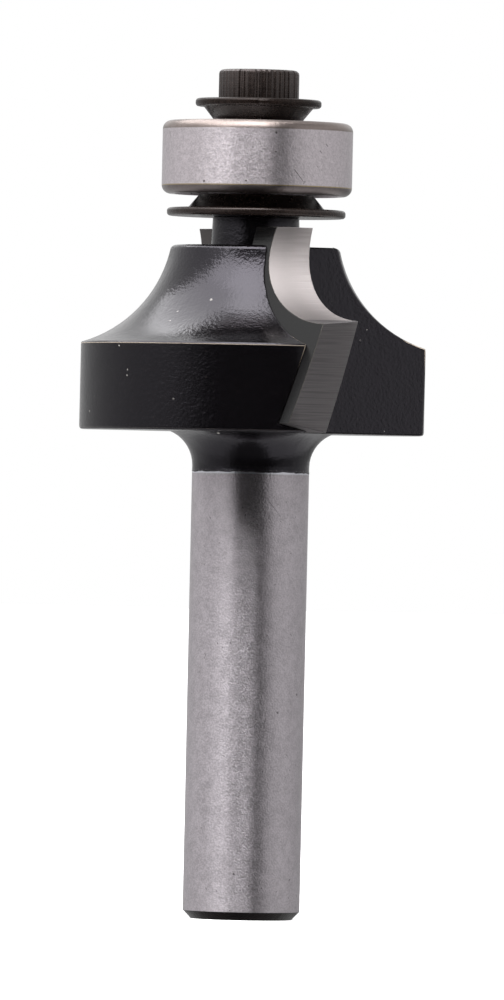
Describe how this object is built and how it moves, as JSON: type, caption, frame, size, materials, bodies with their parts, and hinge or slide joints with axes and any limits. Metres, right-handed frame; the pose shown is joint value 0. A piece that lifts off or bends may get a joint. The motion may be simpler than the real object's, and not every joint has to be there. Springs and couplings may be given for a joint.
{
  "type": "router bit",
  "caption": "Rounding-over router bit: round shank, winged head with brazed carbide tips, and a pilot ball bearing held by a cap screw.",
  "frame": {"origin": "centre of the shank's end face, on the tool's axis, which is the middle of the box's bottom face", "axes": "+Z along the tool's axis from the shank's end to the bearing; +X outwards in the cutting plane of the first tip; the tool turns from +X towards +Y"},
  "size_m": [0.0254, 0.0236, 0.058],
  "materials": {
    "black_painted_steel": "satin black paint on the head, ground bright steel on the shank",
    "carbide": "fine ground carbide",
    "black_oxide": "satin black oxide",
    "bearing_steel": "ground bearing steel",
    "shield_steel": "pressed bright steel",
    "ball_steel": "polished",
    "cage_plastic": "moulded nylon"
  },
  "bodies": {
    "cutter": {"cutter_body": "black_painted_steel", "carbide_tip_1": "carbide", "carbide_tip_2": "carbide", "lower_washer": "black_oxide", "upper_washer": "black_oxide", "cap_screw": "black_oxide", "bearing_inner_ring": "bearing_steel"},
    "outer_ring": {"bearing_outer_ring": "bearing_steel", "lower_shield": "shield_steel", "upper_shield": "shield_steel", "lower_shield_wire": "shield_steel", "upper_shield_wire": "shield_steel"},
    "cage": {"ball_cage": "cage_plastic"},
    "ball_1": {"ball_1": "ball_steel"},
    "ball_2": {"ball_2": "ball_steel"},
    "ball_3": {"ball_3": "ball_steel"},
    "ball_4": {"ball_4": "ball_steel"},
    "ball_5": {"ball_5": "ball_steel"},
    "ball_6": {"ball_6": "ball_steel"},
    "ball_7": {"ball_7": "ball_steel"}
  },
  "joints": [
    {"name": "outer_ring_spin", "type": "hinge", "parent": "cutter", "child": "outer_ring", "pos_m": [0, 0, 0.0519], "axis": [0, 0, 1], "continuous": true},
    {"name": "cage_spin", "type": "hinge", "parent": "cutter", "child": "cage", "pos_m": [0, 0, 0.0519], "axis": [0, 0, 1], "continuous": true},
    {"name": "ball_1_spin", "type": "hinge", "parent": "cage", "child": "ball_1", "pos_m": [0.00425, 0, 0.0519], "axis": [0, 0, 1], "continuous": true},
    {"name": "ball_2_spin", "type": "hinge", "parent": "cage", "child": "ball_2", "pos_m": [0.00265, 0.00332, 0.0519], "axis": [0, 0, 1], "continuous": true},
    {"name": "ball_3_spin", "type": "hinge", "parent": "cage", "child": "ball_3", "pos_m": [-0.00095, 0.00414, 0.0519], "axis": [0, 0, 1], "continuous": true},
    {"name": "ball_4_spin", "type": "hinge", "parent": "cage", "child": "ball_4", "pos_m": [-0.00383, 0.00184, 0.0519], "axis": [0, 0, 1], "continuous": true},
    {"name": "ball_5_spin", "type": "hinge", "parent": "cage", "child": "ball_5", "pos_m": [-0.00383, -0.00184, 0.0519], "axis": [0, 0, 1], "continuous": true},
    {"name": "ball_6_spin", "type": "hinge", "parent": "cage", "child": "ball_6", "pos_m": [-0.00095, -0.00414, 0.0519], "axis": [0, 0, 1], "continuous": true},
    {"name": "ball_7_spin", "type": "hinge", "parent": "cage", "child": "ball_7", "pos_m": [0.00265, -0.00332, 0.0519], "axis": [0, 0, 1], "continuous": true}
  ],
  "couplings": [
    {"joint": "cage_spin", "follows": "outer_ring_spin", "ratio": 0.64006},
    {"joint": "ball_1_spin", "follows": "outer_ring_spin", "ratio": 1.6449},
    {"joint": "ball_2_spin", "follows": "outer_ring_spin", "ratio": 1.6449},
    {"joint": "ball_3_spin", "follows": "outer_ring_spin", "ratio": 1.6449},
    {"joint": "ball_4_spin", "follows": "outer_ring_spin", "ratio": 1.6449},
    {"joint": "ball_5_spin", "follows": "outer_ring_spin", "ratio": 1.6449},
    {"joint": "ball_6_spin", "follows": "outer_ring_spin", "ratio": 1.6449},
    {"joint": "ball_7_spin", "follows": "outer_ring_spin", "ratio": 1.6449}
  ]
}
